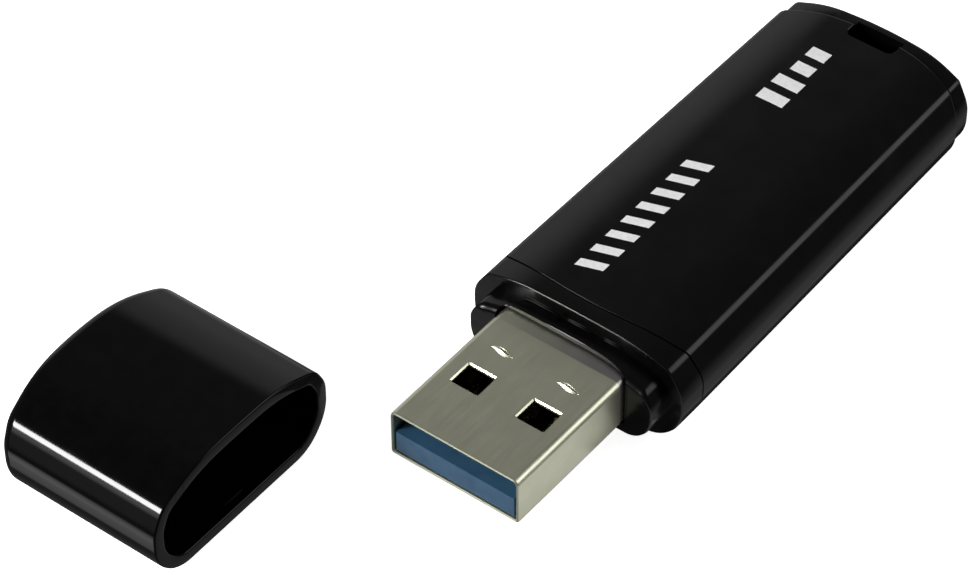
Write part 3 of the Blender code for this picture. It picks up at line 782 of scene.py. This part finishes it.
def make_insulator():
    """The blue tongue and block, with the contacts' grooves and passages."""
    block_front, top_z = BLOCK_LOW.y + TONGUE_LENGTH, BLOCK_LOW.z + TONGUE_THICKNESS
    side = [(BLOCK_LOW.y, BLOCK_LOW.z), (BLOCK_LOW.y, top_z), (block_front, top_z),
            (block_front, BLOCK_HIGH.z), (BLOCK_HIGH.y, BLOCK_HIGH.z), (BLOCK_HIGH.y, BLOCK_LOW.z)]
    insulator = loft("plug_tongue", [[(x, y, z) for y, z in side] for x in (BLOCK_LOW.x, BLOCK_HIGH.x)])
    round_edges(insulator, 0.06 * MM)
    for number in range(1, 5):
        low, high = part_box(f"usb2_contact_{number}")
        cut(insulator, box("groove", (low.x - 0.13 * MM, low.y - 0.15 * MM, top_z - 0.35 * MM),
                           (high.x + 0.13 * MM, BLOCK_HIGH.y + OVERRUN, top_z + 0.1 * MM)))
    for number in range(1, 6):
        low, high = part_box(f"superspeed_contact_{number}")
        cut(insulator, box("passage", (low.x - 0.1 * MM, block_front - OVERRUN, low.z - 0.1 * MM),
                           (high.x + 0.1 * MM, BLOCK_HIGH.y + OVERRUN, low.z + 0.45 * MM)))
    return smooth(insulator)


def surface_z(x):
    """Height of the housing's top near the centre line."""
    centre, radius = HOUSING_ARCS[TOP_ARC][:2]
    return centre.y + math.sqrt(radius ** 2 - x ** 2)


def print_bar(work, centre_x, centre_y, width, length, slant):
    """One bar of ink, width across X and length along Y, with its sides shifted by slant."""
    corners = [(-width / 2, -length / 2 - slant), (width / 2, -length / 2 + slant),
               (width / 2, length / 2 + slant), (-width / 2, length / 2 - slant)]
    low, high = ([work.verts.new((centre_x + x, centre_y + y, surface_z(centre_x + x) + level))
                  for x, y in corners] for level in (-0.1 * MM, INK_HEIGHT))
    work.faces.new(high)
    work.faces.new(list(reversed(low)))
    for index in range(4):
        after = (index + 1) % 4
        work.faces.new((low[index], low[after], high[after], high[index]))


def make_print():
    """A plain white print on the sleeve's top: a row of slanted bars and a row of straight ones."""
    work = bmesh.new()
    for step in range(8):
        print_bar(work, FIRST_ROW.x, FIRST_ROW.y + step * 1.95 * MM, 2.2 * MM, 0.85 * MM, 0.35 * MM)
    for step, width in enumerate((2.5 * MM, 2.5 * MM, 1.8 * MM, 1.8 * MM)):
        print_bar(work, SECOND_ROW.x, SECOND_ROW.y + step * 2.1 * MM, width, 1.2 * MM, 0.0)
    bmesh.ops.recalc_face_normals(work, faces=work.faces)
    return new_object("top_print", work)


# ---------------------------------------------------------------- assembly

def finish_piece(piece, body, slot, material, *nodes):
    """Give a piece its material and its body, and hide the CAD nodes that it stands for. The slot is not
    used.
    """
    piece.data.materials.clear()
    piece.data.materials.append(material)
    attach(piece, body)
    if nodes:
        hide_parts(*nodes)


def build_pieces():
    """Make every detailed piece."""
    gloss = moulded_black("cap_gloss_plastic", 0.1, 0.02, 0.2)
    satin = moulded_black("sleeve_satin_plastic", 0.2, 0.04, 0.28)
    collar = moulded_black("collar_satin_plastic", 0.2, 0.05, 0.26)
    finish_piece(make_cap(), "cap", "cap_gloss_black", gloss, "cap")
    finish_piece(make_sleeve(), "drive", "sleeve_black", satin, "outer_sleeve")
    finish_piece(make_collar(), "drive", "collar_black", collar, "front_collar")
    finish_piece(make_tail(), "drive", "collar_black", collar, "tail_piece")
    finish_piece(make_shell(), "drive", "plug_metal", plated_steel(), "plug_shell")
    finish_piece(make_insulator(), "drive", "plug_blue", blue_plastic(), "plug_insulator")
    finish_piece(make_print(), "drive", "sleeve_black", white_ink())


def dress_nodes():
    """Give the CAD nodes that stay their procedural materials."""
    chassis = moulded_black("chassis_plastic", 0.4, 0.1, 0.4)
    epoxy = mould_compound()
    by_name = {
        "chassis": chassis,
        "usb2": gold_plating(),
        "superspeed": spring_strip_painted_shade(),
        "circuit": solder_mask(),
        "crystal": tin_can(),
        "power": ceramic_chip("inductor_ferrite", (0.05, 0.05, 0.052), (0.09, 0.09, 0.092), 0.16),
        "capacitor": ceramic_chip("capacitor_body", (0.36, 0.23, 0.13), (0.44, 0.29, 0.17), 0.22),
        "resistor": ceramic_chip("resistor_body", (0.015, 0.015, 0.016), (0.03, 0.03, 0.032), 0.2),
        "controller": epoxy,
        "flash": epoxy,
        "esd": epoxy,
        "voltage": epoxy,
    }
    for name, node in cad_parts.items():
        material = by_name.get(name.split("_")[0])
        if material:
            node.data.materials.clear()
            node.data.materials.append(material)


# ---------------------------------------------------------------- studio

WORLD_GREY = 0.10
CAMERA_AZIMUTH = math.radians(38.098)
CAMERA_ELEVATION = math.radians(45.047)
CAMERA_ROLL = math.radians(-0.530)
CAMERA_DISTANCE = 324.56 * MM
CAMERA_AIM = (2.4416 * MM, 16.4982 * MM)    # right and up in the picture from below the plug's tip
CAMERA_LENS = 161.02
KEY_AZIMUTH = math.radians(-145.0)          # 0 is towards +Y and 90 degrees towards +X
KEY_ELEVATION = math.radians(27.0)
KEY_DISTANCE = 0.6
KEY_SIZE = (0.2, 0.14)
KEY_RADIANCE = 55.0
KEY_AIM = Vector((-0.005, -0.025, 0.004))

# Cards just under the floor, seen only in reflections: low and high (x, y) and radiance.
CARDS = [
    ((-0.0300, -0.0190), (0.0104, 0.0300), 0.02),
    ((-0.0200, -0.0330), (-0.0085, -0.0190), 0.42),
    ((-0.0085, -0.0330), (0.0073, -0.0190), 0.06),
    ((0.0073, -0.0242), (0.0084, -0.0190), 0.03),
    ((0.0084, -0.0216), (0.0095, -0.0190), 0.03),
    ((0.0073, -0.0480), (0.0084, -0.0242), 0.66),
    ((0.0084, -0.0480), (0.0095, -0.0216), 0.66),
    ((0.0095, -0.0480), (0.0300, -0.0190), 0.66),
]

# Soft glows of the surroundings: direction, inner and outer half-angle in degrees, radiance.
GLOWS = [
    ((-0.62, 0.75, 0.05), 27.0, 37.0, 0.45),
    ((0.40, 0.55, -0.73), 22.0, 45.0, 0.17),
    ((-0.46, -0.61, -0.64), 3.0, 15.0, 1.5),
    ((0.60, 0.58, 0.53), 11.0, 24.0, 2.2),
    ((-0.44, -0.85, 0.30), 2.0, 18.0, 2.4),
    ((-0.44, -0.89, 0.08), 5.0, 26.0, 0.35),
    ((-0.45, 0.55, 0.70), 0.0, 40.0, 0.06),
]


def make_camera():
    """A long lens above and in front of the plug."""
    toward = Vector((math.sin(CAMERA_AZIMUTH) * math.cos(CAMERA_ELEVATION),
                     -math.cos(CAMERA_AZIMUTH) * math.cos(CAMERA_ELEVATION), math.sin(CAMERA_ELEVATION)))
    level = Vector((math.cos(CAMERA_AZIMUTH), math.sin(CAMERA_AZIMUTH), 0.0))
    upright = toward.cross(level)
    right = math.cos(CAMERA_ROLL) * level + math.sin(CAMERA_ROLL) * upright
    up = math.cos(CAMERA_ROLL) * upright - math.sin(CAMERA_ROLL) * level
    aim = Vector((0.0, SHELL_LOW.y, 0.0)) + right * CAMERA_AIM[0] + up * CAMERA_AIM[1]
    place = aim + toward * CAMERA_DISTANCE
    data = bpy.data.cameras.new("camera")
    data.lens = CAMERA_LENS
    data.sensor_width = 36.0
    data.clip_start = 0.01
    camera = bpy.data.objects.new("camera", data)
    camera.matrix_world = Matrix((
        (right.x, up.x, toward.x, place.x),
        (right.y, up.y, toward.y, place.y),
        (right.z, up.z, toward.z, place.z),
        (0.0, 0.0, 0.0, 1.0),
    ))
    bpy.context.scene.collection.objects.link(camera)
    bpy.context.scene.camera = camera


def make_key_light():
    """The one softbox: in front of the plug, on the -X side, facing the object."""
    direction = Vector((math.sin(KEY_AZIMUTH) * math.cos(KEY_ELEVATION),
                        math.cos(KEY_AZIMUTH) * math.cos(KEY_ELEVATION), math.sin(KEY_ELEVATION)))
    light = bpy.data.lights.new("key", "AREA")
    light.shape = "RECTANGLE"
    light.size, light.size_y = KEY_SIZE
    light.energy = KEY_RADIANCE * math.pi * KEY_SIZE[0] * KEY_SIZE[1]
    holder = bpy.data.objects.new("key", light)
    holder.location = KEY_AIM + direction * KEY_DISTANCE
    holder.rotation_euler = direction.to_track_quat("Z", "Y").to_euler()
    bpy.context.scene.collection.objects.link(holder)


def glowing(name, grey, roughness, specular, radiance):
    """A plain grey surface that gives off white light."""
    nodes = Nodes(name, (grey, grey, grey), roughness, specular=specular)
    nodes.shader.inputs["Emission Color"].default_value = (1.0, 1.0, 1.0, 1.0)
    nodes.shader.inputs["Emission Strength"].default_value = radiance
    return nodes.material


def make_backdrop():
    """A white floor and a white room round it, which only the camera sees."""
    white = glowing("studio_white", 0.9, 0.9, 0.5, 0.92)
    floor = box("floor", (-3.0, -3.0, -0.012), (3.0, 3.0, -0.0001))
    room = box("backdrop", (-3.0, -3.0, -0.02), (3.0, 3.0, 3.0))
    for piece in (floor, room):
        piece.data.materials.append(white)
        piece.visible_glossy = False
        piece.visible_diffuse = False
        piece.visible_shadow = False


def make_cards():
    """The cards under the floor, which only reflections see."""
    for number, (low, high, radiance) in enumerate(CARDS):
        card = box("card", (*low, -0.0012), (*high, -0.0006))
        card.data.materials.append(glowing(f"card_{number}", 0.0, 1.0, 0.0, radiance))
        card.visible_camera = False
        card.visible_diffuse = False


def make_world():
    """Dim studio surroundings with a few soft glows."""
    world = bpy.data.worlds.new("studio")
    bpy.context.scene.world = world
    world.use_nodes = True
    tree = world.node_tree
    place = tree.nodes.new("ShaderNodeTexCoord")
    total = None
    for direction, inner, outer, radiance in GLOWS:
        dot = tree.nodes.new("ShaderNodeVectorMath")
        dot.operation = "DOT_PRODUCT"
        dot.inputs[1].default_value = Vector(direction).normalized()
        tree.links.new(place.outputs["Generated"], dot.inputs[0])
        glow = tree.nodes.new("ShaderNodeMapRange")
        glow.interpolation_type = "SMOOTHSTEP"
        glow.inputs["From Min"].default_value = math.cos(math.radians(outer))
        glow.inputs["From Max"].default_value = math.cos(math.radians(inner))
        glow.inputs["To Max"].default_value = radiance
        tree.links.new(dot.outputs["Value"], glow.inputs["Value"])
        add = tree.nodes.new("ShaderNodeMath")
        add.inputs[1].default_value = WORLD_GREY
        tree.links.new(glow.outputs["Result"], add.inputs[0])
        if total:
            tree.links.new(total.outputs[0], add.inputs[1])
        total = add
    tree.links.new(total.outputs[0], tree.nodes["Background"].inputs["Color"])


make_camera()
build_pieces()
dress_nodes()
make_backdrop()
make_cards()
make_world()
make_key_light()
bpy.context.scene.view_settings.view_transform = "Standard"
